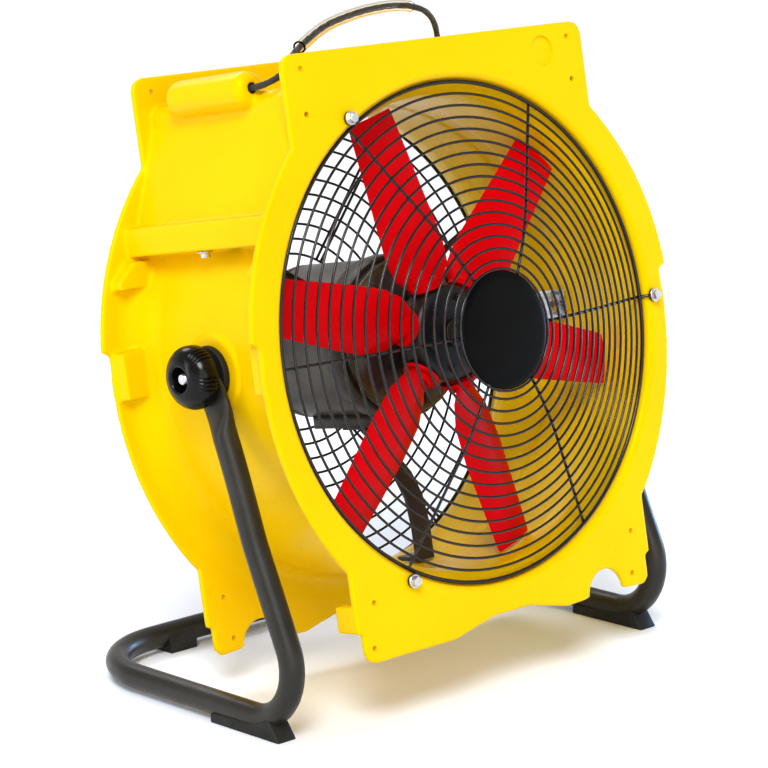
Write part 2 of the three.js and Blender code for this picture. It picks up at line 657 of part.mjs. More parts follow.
function makePivots() {
  const profile = [
    [6.4, KNOB_BASE - 2.7], [15, KNOB_BASE - 2.7], [15, KNOB_BASE], [31, KNOB_BASE], [31.5, KNOB_BASE + 6],
    [30, KNOB_BASE + 14], [25, KNOB_BASE + 21], [15, KNOB_RIM], [12.5, KNOB_RIM], [12, KNOB_RIM - 13],
    [6.4, KNOB_RIM - 13],
  ];
  const pad = [[6.5, 245.3], [29.5, 245.3], [29.5, KNOB_BASE - 9.7], [6.5, KNOB_BASE - 9.7]];
  const bolt = [[0, 222.5], [6, 223.5], [10, 226], [10.5, 227.7], [6, 227.7], [6, KNOB_RIM - 5],
    [5, KNOB_RIM - 4], [0, KNOB_RIM - 4]];
  SIDES.forEach(([name, side]) => {
    const atPivot = (outline, segments) => turnedX(outline, side, segments).translate([0, MIDDLE, 0]);
    const standPad = turnedX(pad, side, 20).translate([0, pivotY, pivotZ]);
    add(upright, `pivot_pad_${name}`, standPad, SOFT_BLACK);
    add(leaning, `knob_${name}`, atPivot(profile, 16), BLACK_PLASTIC);
    add(leaning, `pivot_bolt_${name}`, atPivot(bolt, 12), STEEL);
    const plate = side > 0 ? [228, 231] : [-231, -228];
    const hole = bar([side * 220, MIDDLE, 0], [side * 240, MIDDLE, 0], PIVOT_BOLT + FIT, 12);
    add(leaning, `pivot_plate_${name}`, cut(box(plate, [MIDDLE - 20, MIDDLE + 20], [-15, 15]), hole), STEEL);
  });
}

function makeLedgeBolts() {
  SIDES.forEach(([name, side]) => {
    const at = (z) => [side * 232, MIDDLE, z];
    const washer = bar(at(116.2), at(117.7), 8, 10);
    const head = bar(at(111), at(116.5), 5, 6);
    const shank = bar(at(117), at(128), 2.2, 6);
    add(leaning, `ledge_bolt_${name}`, joined(washer, head, shank), STEEL);
  });
}

// ---------------------------------------------------------------- switch

// The switch box stands on the sloping right-hand wall, between the flanges.
function makeSwitch() {
  const lean = THREE.MathUtils.radToDeg(Math.atan2(223 - 187, 240 - 147));
  const settle = (piece) => piece.rotate([0, -lean, 0]).translate([205.6, MIDDLE, 192]);
  const room = box([-1, 21], [-30, 30], [-26, 26]);
  const well = box([10, 26], [-11.5, 11.5], [-17, 17]);
  const inlet = bar([11, 0, -35], [11, 0, -20], 4.5, 12);
  const shell = cut(box([0.4, 24], [-33, 33], [-29, 29]), room, well, inlet);
  add(leaning, 'switch_box', settle(shell), BLACK_PLASTIC);
  const tray = cut(box([15, 24], [-11.2, 11.2], [-16.7, 16.7]), box([16, 27], [-9, 9], [-14, 14]));
  const flange = cut(box([24.3, 26], [-13.5, 13.5], [-19, 19]), box([24, 27], [-9, 9], [-14, 14]));
  const collar = cut(box([23.9, 24.4], [-11.2, 11.2], [-16.7, 16.7]), box([23, 27], [-9, 9], [-14, 14]));
  add(leaning, 'switch_frame', settle(joined(tray, flange, collar)), BLACK_PLASTIC);
  // The rocker turns on a pin 21 mm out from the wall, and rests with its top end out.
  const rocker = sheet([[-1, -12], [-1, 12], [6, 12.6], [4, 0], [6, -12.6]], -8.5, 8.5);
  const rest = rocker.rotate([0, ROCKER_TILT, 0]).translate([21, 0, 0]);
  add(leaning, 'switch_rocker', settle(rest), BLACK_PLASTIC);
  const gland = cut(
    joined(bar([11, 0, -29.3], [11, 0, -34], 12, 6), bar([11, 0, -33], [11, 0, -44], 9.5, 14)),
    bar([11, 0, -50], [11, 0, -28], 4.5, 12),
  );
  add(leaning, 'cable_gland', settle(gland), BLACK_PLASTIC);
}

// ---------------------------------------------------------------- handle and lead

// A round tube along a smooth curve through its points, hollow where bore is given.
function cord(points, radius, steps, bore = 0) {
  const curve = smooth(points);
  const circle = (size) => angles(8).map((t) => new THREE.Vector2(size * Math.cos(t), size * Math.sin(t)));
  const section = new THREE.Shape(circle(radius));
  if (bore > 0) section.holes.push(new THREE.Path(circle(bore)));
  return solid(new THREE.ExtrudeGeometry(section, { steps, extrudePath: curve }));
}

function smooth(points) {
  return new THREE.CatmullRomCurve3(points.map((p) => new THREE.Vector3(...p)), false, 'centripetal');
}

// The rope runs out of the front of the left roll, over the top, and into the back
// of the right roll. A clear hose covers its middle, and a knot holds each end.
const ROPE_POINTS = [
  [-186, 84, 266.5], [-186, 73, 266.5], [-186, 63, 266.5], [-184.6, 53, 267.3], [-180.6, 45, 269.2],
  [-174.5, 40.5, 272], [-166.4, 40, 275.6], [-157.4, 43.5, 280.2], [-147.5, 49.5, 285.6],
  [-136, 57.5, 291.2], [-120, 66, 297.8], [-88, 81, 308.5], [-50, 96, 319.5], [0, 111, 328],
  [40, 121, 332], [75, 128.5, 333], [103, 132.5, 330.5], [125, 136, 324], [143, 144.6, 313],
  [157.5, 157.1, 299], [167, 166.4, 289], [173.4, 171.8, 282.4], [177.6, 173.6, 277.4],
  [181.6, 171.7, 272.2], [184.8, 166.6, 268.2], [186, 159.6, 266.6], [186, 148.6, 266.5],
];
const HOSE_FROM = 0.25; // where the hose covers the rope, along its length
const HOSE_TO = 0.72;

function makeHandle() {
  add(leaning, 'handle_rope', cord(ROPE_POINTS, ROPE_RADIUS, 30), ROPE);
  const curve = smooth(ROPE_POINTS);
  const step = (HOSE_TO - HOSE_FROM) / 8;
  const covered = Array.from({ length: 9 }, (_, i) => curve.getPointAt(HOSE_FROM + step * i).toArray());
  const hose = cord(covered, HOSE_RADIUS, 12, HOSE_RADIUS - 2);
  add(leaning, 'handle_hose', hose, CLEAR);
  SIDES.forEach(([name, side]) => {
    const end = side < 0 ? ROPE_POINTS[0] : ROPE_POINTS[ROPE_POINTS.length - 1];
    const geometry = new THREE.SphereGeometry(8, 8, 6);
    const knot = solid(geometry.translate(end[0], end[1] - side * (8 + FIT), end[2] - 1));
    add(leaning, `rope_knot_${name}`, knot, ROPE);
  });
}

// The lead inside, from the motor's terminal box along the right strut to the wall.
const LEAD_POINTS = [
  [94, 160, 43], [96, 159, 54], [106, 152, 68], [124, 143, 82], [148, 138, 95], [172, 136, 106],
  [192, 136, 116],
];

function makeLead() {
  add(leaning, 'motor_lead', cord(LEAD_POINTS, 3.3, 12), BLACK_PLASTIC);
}

makeStand();
makeHousing();
makeGuards();
makeImpeller();
makeMotor();
makeMotorMounts();
makeTerminalBox();
makePivots();
makeLedgeBolts();
makeSwitch();
makeHandle();
makeLead();

export default airMover;
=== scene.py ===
"""An air mover: the looks of every piece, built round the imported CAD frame.

Sizes are in millimetres. Everything that tilts is built in the housing's own frame, whose origin
is the middle of the front guard's rim, with Y along the fan's axis; LEANING carries it into the
row frame. The stand is built upright, and UPRIGHT carries it there.
"""

import json
import math

import bmesh
import bpy
import numpy as np
from mathutils import Matrix, Vector


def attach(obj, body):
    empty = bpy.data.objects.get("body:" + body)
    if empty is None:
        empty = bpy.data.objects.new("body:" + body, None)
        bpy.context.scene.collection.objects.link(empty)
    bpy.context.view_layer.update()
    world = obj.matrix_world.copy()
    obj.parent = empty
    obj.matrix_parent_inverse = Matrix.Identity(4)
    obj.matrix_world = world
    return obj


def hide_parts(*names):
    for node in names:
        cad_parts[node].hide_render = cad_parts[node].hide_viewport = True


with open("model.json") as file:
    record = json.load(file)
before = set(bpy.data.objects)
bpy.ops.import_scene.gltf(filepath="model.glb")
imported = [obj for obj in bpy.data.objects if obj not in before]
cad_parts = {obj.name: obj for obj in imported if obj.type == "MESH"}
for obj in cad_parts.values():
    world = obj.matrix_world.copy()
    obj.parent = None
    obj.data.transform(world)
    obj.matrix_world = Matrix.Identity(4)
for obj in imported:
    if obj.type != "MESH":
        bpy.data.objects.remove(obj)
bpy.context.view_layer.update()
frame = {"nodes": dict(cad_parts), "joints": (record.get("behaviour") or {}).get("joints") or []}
scene = bpy.context.scene

# ------------------------------------------------------------------ driving sizes

MM = 0.001
JOINTS = {joint["name"]: joint for joint in frame["joints"]}
AXIS = Vector(JOINTS["impeller_spin"]["axis"])
TILT = math.atan2(-AXIS.z, AXIS.y)
AXIS_HEIGHT = 362.5  # of the housing frame's origin over the floor
CENTRE_Y = 140.2  # from there to the row frame's origin

FRONT = -5.2  # the housing's outer faces
REAR = 229.1
MIDDLE = (FRONT + REAR) / 2
FLANGE = 7  # thickness
BARREL = 243  # radii: outside, inside, and at the duct's mouth
DUCT = 235
MOUTH = 251.5
WALL = 4
ROLL = 18.5  # radius of the rolls along the top edges, then their place
ROLL_X = 186
ROLL_Z = 265.5
ROLL_FRONT = 62  # the left roll's ends; the right one is turned round
ROLL_REAR = 179.4
FLANGE_HOLE = 2.8  # radii of the drilled holes
GUARD_HOLE = 3.6
ROPE_HOLE = 5

GUARD = 248  # radius of the guards' outer ring
WIRE = 1.35
RIM_WIRE = 2.0
SPOKE = WIRE + 0.15
RING_STEP = 12
REAR_STEP = 15.5
BADGE = 58.5
BOLT_CIRCLE = 260

FIRST_BLADE = 45  # degrees round from the right
TIP = 231
IMPELLER_Y = 43
HUB = 49
MOTOR = 80
MOTOR_FRONT = 100
MOTOR_REAR = 244

TUBE = 12.5  # the stand's tube: radius, place and bends
ARM_X = 258.2
RAIL_Z = 17
ARM_LEAN = math.radians(24.73)
ARM_BOW = 7.5
FRONT_BEND = 55
REAR_BEND = 96
REAR_BAR_Y = 322
FOOT_EDGE = 1.6  # rounding of the rubber feet
KNOB_BASE = 262  # the knobs' inner and outer ends
KNOB_RIM = 287
KNOB_GROOVE = 1.7

ROPE_DIAMETER = 6.8
HOSE_RADIUS = 6.5
HOSE_BORE = 4.6
HOSE_FROM = 0.25  # where the hose covers the rope, along its length
HOSE_TO = 0.72
ROPE_POINTS = [
    (-186, 84, 266.5), (-186, 73, 266.5), (-186, 63, 266.5), (-184.6, 53, 267.3),
    (-180.6, 45, 269.2), (-174.5, 40.5, 272), (-166.4, 40, 275.6), (-157.4, 43.5, 280.2),
    (-147.5, 49.5, 285.6),
    (-136, 57.5, 291.2), (-120, 66, 297.8), (-88, 81, 308.5), (-50, 96, 319.5), (0, 111, 328),
    (40, 121, 332), (75, 128.5, 333), (103, 132.5, 330.5), (125, 136, 324), (143, 144.6, 313),
    (157.5, 157.1, 299), (167, 166.4, 289), (173.4, 171.8, 282.4), (177.6, 173.6, 277.4),
    (181.6, 171.7, 272.2), (184.8, 166.6, 268.2), (186, 159.6, 266.6), (186, 148.6, 266.5),
]

SIDES = (("left", -1), ("right", 1))
LEANING = (
    Matrix.Scale(MM, 4)
    @ Matrix.Translation((0, -CENTRE_Y, AXIS_HEIGHT))
    @ Matrix.Rotation(-TILT, 4, "X")
)
UPRIGHT = Matrix.Scale(MM, 4) @ Matrix.Translation((0, -CENTRE_Y, 0))
PIVOT_Y = MIDDLE * math.cos(TILT)
PIVOT_Z = AXIS_HEIGHT - MIDDLE * math.sin(TILT)

# ------------------------------------------------------------------ camera

CAMERA_PLACE = (-2.1371, -2.2973, 0.9588)
CAMERA_AZIMUTH = math.radians(-43.06)
CAMERA_ELEVATION = math.radians(12.04)
CAMERA_ROLL = math.radians(-1.267)
CAMERA_LENS = 146.36


def make_camera():
    back = Vector((
        math.sin(CAMERA_AZIMUTH) * math.cos(CAMERA_ELEVATION),
        -math.cos(CAMERA_AZIMUTH) * math.cos(CAMERA_ELEVATION),
        math.sin(CAMERA_ELEVATION),
    ))
    right = (-back).cross(Vector((0, 0, 1))).normalized()
    up = right.cross(-back)
    turned_right = math.cos(CAMERA_ROLL) * right + math.sin(CAMERA_ROLL) * up
    turned_up = -math.sin(CAMERA_ROLL) * right + math.cos(CAMERA_ROLL) * up
    data = bpy.data.cameras.new("photo_view")
    data.lens = CAMERA_LENS
    data.sensor_width = 36
    data.clip_start = 0.1
    data.clip_end = 60
    camera = bpy.data.objects.new("photo_view", data)
    scene.collection.objects.link(camera)
    turn = Matrix((turned_right, turned_up, back)).transposed().to_4x4()
    camera.matrix_world = Matrix.Translation(CAMERA_PLACE) @ turn
    scene.camera = camera


make_camera()

# ------------------------------------------------------------------ forms


class Form:
    """Points and faces that become one mesh."""

    def __init__(self, points=(), faces=()):
        self.points = [tuple(p) for p in points]
        self.faces = [tuple(f) for f in faces]

    def __add__(self, other):
        shift = len(self.points)
        return Form(
            self.points + other.points,
            self.faces + [tuple(i + shift for i in f) for f in other.faces],
        )

    def moved(self, matrix):
        return Form([matrix @ Vector(p) for p in self.points], self.faces)


def skin(sections, closed=False):
    """Faces between a row of sections with the same number of points."""
    count = len(sections[0])
    rows = len(sections)
    faces = []
    for k in range(rows if closed else rows - 1):
        a, b = k * count, (k + 1) % rows * count
        for i in range(count):
            j = (i + 1) % count
            faces.append((a + i, a + j, b + j, b + i))
    if not closed:
        faces.append(tuple(range(count - 1, -1, -1)))
        faces.append(tuple(range((rows - 1) * count, rows * count)))
    return Form([p for s in sections for p in s], faces)


def spread(count, first=0.0):
    """Angles evenly spread round a full turn."""
    return [first + 2 * math.pi * i / count for i in range(count)]


def steps(start, end, count):
    """Numbers evenly spaced from start to end, with both ends."""
    return [start + (end - start) * i / (count - 1) for i in range(count)]


def lathe(outline, count=96):
    """Turned about Y, from (radius, y) points."""
    return skin(
        [[(r * math.cos(t), y, r * math.sin(t)) for r, y in outline] for t in spread(count)],
        closed=True,
    )


def lathe_x(outline, side, centre, count=64):
    """Turned about an axis along X through centre (y, z), from (radius, |x|) points."""
    return skin(
        [
            [
                (side * x, centre[0] + r * math.cos(t), centre[1] + r * math.sin(t))
                for r, x in outline
            ]
            for t in spread(count)
        ],
        closed=True,
    )


def ring(radius, y, wire, count=128, sides=8):
    """A wire ring about Y."""
    outline = [(radius + wire * math.cos(a), y + wire * math.sin(a)) for a in spread(sides)]
    return lathe(outline, count)


def prism(outline, y0, y1):
    """A plate across Y, from (x, z) points."""
    return skin([[(x, y, z) for x, z in outline] for y in (y0, y1)])


def block(xs, ys, zs):
    (x0, x1), (z0, z1) = xs, zs
    return prism([(x0, z0), (x1, z0), (x1, z1), (x0, z1)], *ys)


def frames(path, closed=False):
    """Unit vectors along and across a path, carried along it without twist."""
    path = np.array(path, float)
    if closed:
        along = np.roll(path, -1, 0) - np.roll(path, 1, 0)
    else:
        along = np.gradient(path, axis=0)
    along /= np.linalg.norm(along, axis=1)[:, None]
    side = np.cross(along[0], (0, 0, 1))
    if np.linalg.norm(side) < 0.1:
        side = np.cross(along[0], (0, 1, 0))
    sides = []
    for t in along:
        side = side - (side @ t) * t
        side = side / np.linalg.norm(side)
        sides.append(side)
    sides = np.array(sides)
    return path, along, sides, np.cross(along, sides)


def circles(path, radius, sides, closed=False):
    """Round sections along a path."""
    path, _, side, other = frames(path, closed)
    return [
        [tuple(p + radius * (math.cos(a) * s + math.sin(a) * o)) for a in spread(sides)]
        for p, s, o in zip(path, side, other)
    ]


def wire(path, radius, sides=8):
    return skin(circles(path, radius, sides))


def rod(start, end, radius, sides=32):
    return wire([start, end], radius, sides)


def arc(cx, cz, radius, start, end, count):
    """Points on an arc about (cx, cz), between two angles in degrees."""
    angles = [math.radians(a) for a in steps(start, end, count + 1)]
    return [(cx + radius * math.cos(a), cz + radius * math.sin(a)) for a in angles]


def mirrored(outline):
    """The outline's other half, in the order that carries it on."""
    return [(-x, z) for x, z in reversed(outline)]


def smooth_path(points, step):
    """Evenly spaced points on a centripetal Catmull-Rom curve, with its bends eased."""
    p = np.array(points, float)
    p = np.vstack([2 * p[0] - p[1], p, 2 * p[-1] - p[-2]])
    knots = np.concatenate([[0], np.cumsum(np.linalg.norm(np.diff(p, axis=0), axis=1) ** 0.5)])
    dense = []
    for k in range(1, len(p) - 2):
        t0, t1, t2, t3 = knots[k - 1 : k + 3]
        t = np.linspace(t1, t2, 24, endpoint=False)[:, None]
        a1 = (t1 - t) / (t1 - t0) * p[k - 1] + (t - t0) / (t1 - t0) * p[k]
        a2 = (t2 - t) / (t2 - t1) * p[k] + (t - t1) / (t2 - t1) * p[k + 1]
        a3 = (t3 - t) / (t3 - t2) * p[k + 1] + (t - t2) / (t3 - t2) * p[k + 2]
        b1 = (t2 - t) / (t2 - t0) * a1 + (t - t0) / (t2 - t0) * a2
        b2 = (t3 - t) / (t3 - t1) * a2 + (t - t1) / (t3 - t1) * a3
        dense.append((t2 - t) / (t2 - t1) * b1 + (t - t1) / (t2 - t1) * b2)
    dense = np.vstack([*dense, p[-2:-1]])
    path = evenly(dense, step)
    for _ in range(40):
        path[1:-1] += 0.25 * (path[:-2] + path[2:] - 2 * path[1:-1])
    return evenly(path, step)


def evenly(path, step):
    """The same path with its points a step apart."""
    length = np.concatenate([[0], np.cumsum(np.linalg.norm(np.diff(path, axis=0), axis=1))])
    count = max(3, round(length[-1] / step) + 1)
    at = np.linspace(0, length[-1], count)
    return np.stack([np.interp(at, length, path[:, i]) for i in range(3)], 1)


def path_length(path):
    return float(np.linalg.norm(np.diff(path, axis=0), axis=1).sum())


# ------------------------------------------------------------------ objects


def raw_object(name, form):
    """A mesh object from a form, with its doubled points merged and its faces turned outward."""
    mesh = bpy.data.meshes.new(name)
    mesh.from_pydata([tuple(p) for p in form.points], [], form.faces)
    work = bmesh.new()
    work.from_mesh(mesh)
    bmesh.ops.remove_doubles(work, verts=work.verts, dist=0.0005)
    bmesh.ops.recalc_face_normals(work, faces=work.faces)
    work.to_mesh(mesh)
    work.free()
    obj = bpy.data.objects.new(name, mesh)
    scene.collection.objects.link(obj)
    return obj


def settle(obj):
    """Applies the object's modifiers to its mesh."""
    bpy.context.view_layer.update()
    graph = bpy.context.evaluated_depsgraph_get()
    mesh = bpy.data.meshes.new_from_object(obj.evaluated_get(graph))
    old = obj.data
    obj.modifiers.clear()
    obj.data = mesh
    bpy.data.meshes.remove(old)


def combine(name, base, tools):
    """The base with each (operation, form) worked on it in turn."""
    whole = raw_object(name, base)
    helpers = []
    for operation, form in tools:
        helper = raw_object("tool", form)
        helpers.append(helper)
        step = whole.modifiers.new("step", "BOOLEAN")
        step.operation = operation
        step.solver = "MANIFOLD"
        step.object = helper
    settle(whole)
    for helper in helpers:
        bpy.data.objects.remove(helper)
    return whole


def round_off(obj, width):
    """Rounds the sharp edges of an object that is still in millimetres."""
    bevel = obj.modifiers.new("edges", "BEVEL")
    bevel.width = width
    bevel.segments = 3
    bevel.limit_method = "ANGLE"
    bevel.angle_limit = math.radians(35)
    settle(obj)


def show(obj, body, material, nodes=(), place=LEANING, sharp=38):
    """Puts a finished object in the row frame, on its body, in place of its CAD nodes."""
    obj.data.transform(place)
    obj.data.shade_smooth()
    obj.data.set_sharp_from_angle(angle=math.radians(sharp))
    obj.data.materials.clear()
    obj.data.materials.append(material)
    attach(obj, body)
    if nodes:
        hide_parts(*nodes)
    return obj


# ------------------------------------------------------------------ materials


def surface(name, low, high, rough, mottle=18, grain=900, depth=0.00004, **fixed):
    """A shader whose colour, roughness and bump vary with noise in the object's space."""
    material = bpy.data.materials.new(name)
    material.use_nodes = True
    nodes, links = material.node_tree.nodes, material.node_tree.links
    shader = nodes["Principled BSDF"]
    where = nodes.new("ShaderNodeTexCoord").outputs["Object"]

    def noise(scale, detail):
        made = nodes.new("ShaderNodeTexNoise")
        made.inputs["Scale"].default_value = scale
        made.inputs["Detail"].default_value = detail
        links.new(where, made.inputs["Vector"])
        return made.outputs["Fac"]

    patches = noise(mottle, 4)
    ramp = nodes.new("ShaderNodeValToRGB")
    ramp.color_ramp.elements[0].position = 0.3
    ramp.color_ramp.elements[1].position = 0.7
    ramp.color_ramp.elements[0].color = (*low, 1)
    ramp.color_ramp.elements[1].color = (*high, 1)
    links.new(patches, ramp.inputs["Fac"])
    links.new(ramp.outputs["Color"], shader.inputs["Base Color"])

    gloss = nodes.new("ShaderNodeMapRange")
    gloss.inputs["From Min"].default_value = 0.3
    gloss.inputs["From Max"].default_value = 0.7
    gloss.inputs["To Min"].default_value = rough[0]
    gloss.inputs["To Max"].default_value = rough[1]
    links.new(noise(mottle * 2.7, 6), gloss.inputs["Value"])
    links.new(gloss.outputs["Result"], shader.inputs["Roughness"])

    bump = nodes.new("ShaderNodeBump")
    bump.inputs["Strength"].default_value = 0.6
    bump.inputs["Distance"].default_value = depth
    links.new(noise(grain, 3), bump.inputs["Height"])
    links.new(bump.outputs["Normal"], shader.inputs["Normal"])
    for key, value in fixed.items():
        shader.inputs[key.replace("_", " ").title().replace("Ior", "IOR")].default_value = value
    return material


YELLOW = surface(
    "moulded_yellow", (0.80, 0.51, 0.0), (0.84, 0.545, 0.0005), (0.26, 0.36),
    mottle=9, grain=260, depth=0.00022, specular_ior_level=0.3,
    specular_tint=(1.0, 0.80, 0.06, 1.0),
)
RED = surface(
    "moulded_red", (0.60, 0.0, 0.003), (0.70, 0.0005, 0.006), (0.30, 0.42),
    mottle=14, grain=420, depth=0.00012, specular_ior_level=0.2, specular_tint=(1.0, 0.3, 0.3, 1.0),
)
BLACK_WIRE = surface(
    "coated_wire", (0.004, 0.004, 0.005), (0.009, 0.009, 0.010), (0.16, 0.28),
    mottle=40, grain=700, depth=0.00005, coat_weight=0.2, coat_roughness=0.12,
)
BLACK_PLASTIC = surface(
    "black_plastic", (0.010, 0.010, 0.011), (0.018, 0.018, 0.019), (0.32, 0.44),
    mottle=30, grain=1500, depth=0.00006,
)
BADGE_PLASTIC = surface(
    "badge_plastic", (0.001, 0.001, 0.001), (0.003, 0.003, 0.003), (0.20, 0.28),
    mottle=20, grain=1200, depth=0.00003, specular_ior_level=0.12,
)
KNOB_PLASTIC = surface(
    "knob_plastic", (0.003, 0.003, 0.003), (0.008, 0.008, 0.007), (0.15, 0.24),
    mottle=60, grain=1600, depth=0.00003, specular_ior_level=0.3,
)
RUBBER = surface(
    "rubber", (0.014, 0.014, 0.012), (0.026, 0.026, 0.023), (0.50, 0.66),
    mottle=45, grain=2200, depth=0.0001, specular_ior_level=0.3,
)
STAND_PAINT = surface(
    "stand_powder_coat", (0.020, 0.018, 0.014), (0.032, 0.029, 0.023), (0.30, 0.42),
    mottle=22, grain=2600, depth=0.00009, specular_ior_level=0.4,
)
MOTOR_PAINT = surface(
    "motor_casting_paint", (0.085, 0.080, 0.070), (0.125, 0.118, 0.104), (0.30, 0.42),
    mottle=30, grain=1300, depth=0.0001, metallic=0.55,
)
BLACK_STEEL = surface(
    "painted_steel", (0.030, 0.027, 0.022), (0.046, 0.042, 0.035), (0.34, 0.48),
    mottle=25, grain=1800, depth=0.00008,
)
ZINC = surface(
    "zinc_plate", (0.55, 0.56, 0.58), (0.74, 0.75, 0.76), (0.20, 0.36),
    mottle=120, grain=2400, depth=0.00004, metallic=1.0,
)
COPPER = surface(
    "enamelled_copper", (0.42, 0.14, 0.04), (0.62, 0.25, 0.09), (0.30, 0.42),
    mottle=160, grain=1400, depth=0.0002, metallic=0.8,
)
ROPE = surface(
    "rope_fibre", (0.010, 0.010, 0.011), (0.030, 0.030, 0.032), (0.50, 0.68),
    mottle=600, grain=5000, depth=0.0001, sheen_weight=0.3,
)
HOSE = surface(
    "clear_hose", (0.93, 0.88, 0.76), (0.98, 0.95, 0.88), (0.04, 0.10),
    mottle=60, grain=500, depth=0.00002, transmission_weight=1.0, ior=1.18,
)
FLOOR = surface(
    "paper_floor", (0.90, 0.925, 0.98), (0.92, 0.945, 0.995), (0.85, 0.95),
    mottle=3, grain=300, depth=0.00002, specular_ior_level=0.1,
)

# ------------------------------------------------------------------ rope and hose

ROPE_PATH = smooth_path(ROPE_POINTS, 0.8)


def make_rope():
    """Two sets of strands, wound opposite ways over and under each other, round a core."""
    path, _, side, other = frames(ROPE_PATH)
    travel = np.arange(len(path)) * path_length(path) / (len(path) - 1)
    form = wire(path[::3], ROPE_DIAMETER / 2 - 1.2, 12)
    pitch, strands, thick, weave = 21.0, 8, 0.78, 0.26
    for way in (1, -1):
        for k in range(strands):
            turn = way * 2 * math.pi * travel / pitch + 2 * math.pi * k / strands
            crossing = 2 * math.pi * strands * travel / pitch + k % 2 * math.pi
            lift = weave * way * np.cos(crossing)
            radius = ROPE_DIAMETER / 2 - thick - weave + lift
            out = np.cos(turn)[:, None] * side + np.sin(turn)[:, None] * other
            form += wire((path + radius[:, None] * out)[::2], thick, 5)
    obj = raw_object("rope_handle", form)
    return show(obj, "housing", ROPE, ("handle_rope",), sharp=60)


def make_hose():
    first, last = (round(u * (len(ROPE_PATH) - 1)) for u in (HOSE_FROM, HOSE_TO))
    covered = ROPE_PATH[first : last + 1 : 3]
    outside, inside = (circles(covered, radius, 32) for radius in (HOSE_RADIUS, HOSE_BORE))
    obj = raw_object("hose_grip", skin(outside + inside[::-1], closed=True))
    return show(obj, "housing", HOSE, ("handle_hose",), sharp=50)


def make_knot(name, side):
    """A rope end tucked round itself: a fat trefoil beyond the wall that the rope goes through."""
    end = np.array(ROPE_POINTS[0 if side < 0 else -1], float)
    centre = end + (0, -side * 8.3, -1)
    points = []
    for t in spread(90):
        x = math.sin(t) + 2 * math.sin(2 * t)
        y = math.cos(t) - 2 * math.cos(2 * t)
        z = -math.sin(3 * t)
        points.append(centre + 1.55 * np.array((x, z * 1.6, y)))
    obj = raw_object(f"knot_{name}", skin(circles(points, 2.6, 10, closed=True), closed=True))
    return show(obj, "housing", ROPE, (f"rope_knot_{name}",))


def make_handle():
    rope = make_rope()
    hose = make_hose()
    knots = [make_knot(name, side) for name, side in SIDES]


make_handle()

# ------------------------------------------------------------------ housing

UNITE, CUT = "UNION", "DIFFERENCE"


def flange_outline(notched):
    """The right half of the front flange's outline, from the top down."""
    side = [
        *arc(190.5, 278.5, 14, 90, 0, 10),
        (204.5, 204.2),
        *arc(0, 0, 289, 44.9, 5.9, 24),
        (278.5, 26),
        *arc(-26.8, -6.3, 305.8, 5, -38.2, 26),
        (206.5, -203),
        (206.5, -262),
        (200.5, -264),
    ]
    notch = [(x, -586 - z) for x, z in arc(137, -293, 26, -2.2, -177.8, 24)]
    foot = (
        [(200.5, -286), (192.5, -294), *notch, (80, -294)]
        if notched
        else [(200.5, -280), (196.4, -289.9), (186.5, -294), (82, -294)]
    )
    return side + foot


def top_outline(inset):
    """The box on top of the duct, with its ledges, drawn in by an inset."""
    right = [
        (178, 262 - inset),
        (187 - inset, 254),
        (187 - inset, 240),
        (223 - inset, 147 - 0.4 * inset),
        (240 - inset, 146 - inset),
        (240 - inset, 118 + inset),
        (150, 118 + inset),
    ]
    return right + mirrored(right)


def roll(side, radius, inset, soft):
    """The capsule along a top edge; soft rounds its ends."""
    low, high = ROLL_FRONT + inset, ROLL_REAR - inset
    curve = [
        (radius - soft + soft * math.sin(a), soft - soft * math.cos(a))
        for a in steps(0, math.pi / 2, 8)
    ]
    outline = [(0, low)]
    outline += [(r, low + d) for r, d in curve]
    outline += [(r, high - d) for r, d in reversed(curve)]
    outline.append((0, high))
    form = lathe(outline, 48).moved(Matrix.Translation((-ROLL_X, 0, ROLL_Z)))
    return form if side < 0 else turned_round(form)


def turned_round(form):
    """Half a turn about the upright line through the housing's middle."""
    return form.moved(Matrix.Translation((0, 2 * MIDDLE, 0)) @ Matrix.Rotation(math.pi, 4, "Z"))


def flange_holes():
    """Where the small holes in the flanges' corners are."""
    rows = [(side * 182, z) for z in (277.7, 234.3, -235.75) for side in (-1, 1)]
    return [*rows, (-189, -279), (176, -279)]


def both_ends(form):
    return [form, turned_round(form)]


def solid_parts():
    """What the moulding is joined from, after the front flange."""
    back = FRONT + FLANGE - 1
    barrel = lathe(
        [(200, back), (272, back), (262, back + 3.5), (254, back + 9), (248.5, back + 16),
         (245, back + 24), (BARREL, back + 34), (BARREL, MIDDLE + 0.1), (200, MIDDLE + 0.1)], 160,
    )
    outline = [
        *flange_outline(True), (27, -282), (-27, -282), *mirrored(flange_outline(False)),
    ]
    flange = prism(outline, FRONT, FRONT + FLANGE)
    gussets = (
        [(204, 88), (266, 88), (266, 96), (246, 114), (204, 114)],
        [(230, -20), (276, -20), (276, 27), (250, 29), (230, 29)],
    )
    parts = [turned_round(flange), *both_ends(barrel)]
    for gusset in gussets:
        for shape in (gusset, mirrored(gusset)):
            parts += both_ends(prism(shape, back, back + 16))
    right_lug, left_lug = (block(xs, (back, 26), (-262, -236)) for xs in ((189, 206), (-206, -189)))
    parts += [right_lug, left_lug, turned_round(left_lug)]

    blank = lathe([(0, 0), (DUCT + 3, 0), (DUCT + 3, 224), (0, 224)], 120)
    top = combine("top", prism(top_outline(0), back, 2 * MIDDLE - back), [(CUT, blank)])
    parts.append(taken(top))
    for _, side in SIDES:
        boss = rod((side * 225, MIDDLE, 0), (side * 245, MIDDLE, 0), 38, 64)
        parts += [boss, roll(side, ROLL, 0, 10)]
    return flange, parts


